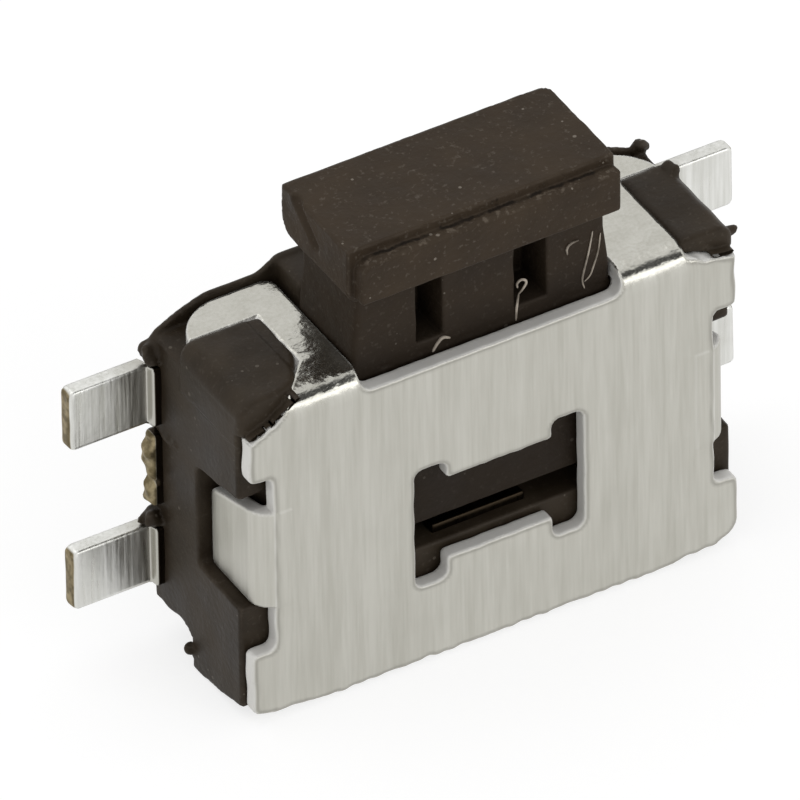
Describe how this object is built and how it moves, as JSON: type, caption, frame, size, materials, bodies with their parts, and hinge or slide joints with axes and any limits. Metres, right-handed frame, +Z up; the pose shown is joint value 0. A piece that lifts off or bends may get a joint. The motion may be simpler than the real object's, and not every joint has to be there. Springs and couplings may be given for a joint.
{
  "type": "tactile switch",
  "caption": "Side-push surface-mount tactile switch: bent steel cover over a moulded housing, wide ribbed button and flat tinned leads.",
  "frame": {"origin": "centre of the switch's outline, at the height of the housing's foot", "axes": "+Z up through the button, against its travel; +Y towards the circuit board; -Y is the steel face; +X along the width"},
  "size_m": [0.0064, 0.0016, 0.0045],
  "materials": {
    "housing_plastic": "moulded, satin dark brown-black",
    "cover_steel": "fine upright rolling grain, satin",
    "plunger_plastic": "moulded, matte dark brown with pale specks",
    "dome_steel": "bright spring strip",
    "tinned_brass": "bright tin plate with bare sheared ends"
  },
  "bodies": {
    "body": {"housing": "housing_plastic", "cover": "cover_steel", "outer_contact": "tinned_brass", "centre_contact": "tinned_brass", "snap_dome": "dome_steel"},
    "button": {"plunger": "plunger_plastic"}
  },
  "joints": [
    {"name": "button_travel", "type": "slide", "parent": "body", "child": "button", "axis": [0, 0, -1], "range_m": [0, 0.0002], "stiffness_N_per_m": 8000, "deforming": ["snap_dome"]}
  ]
}
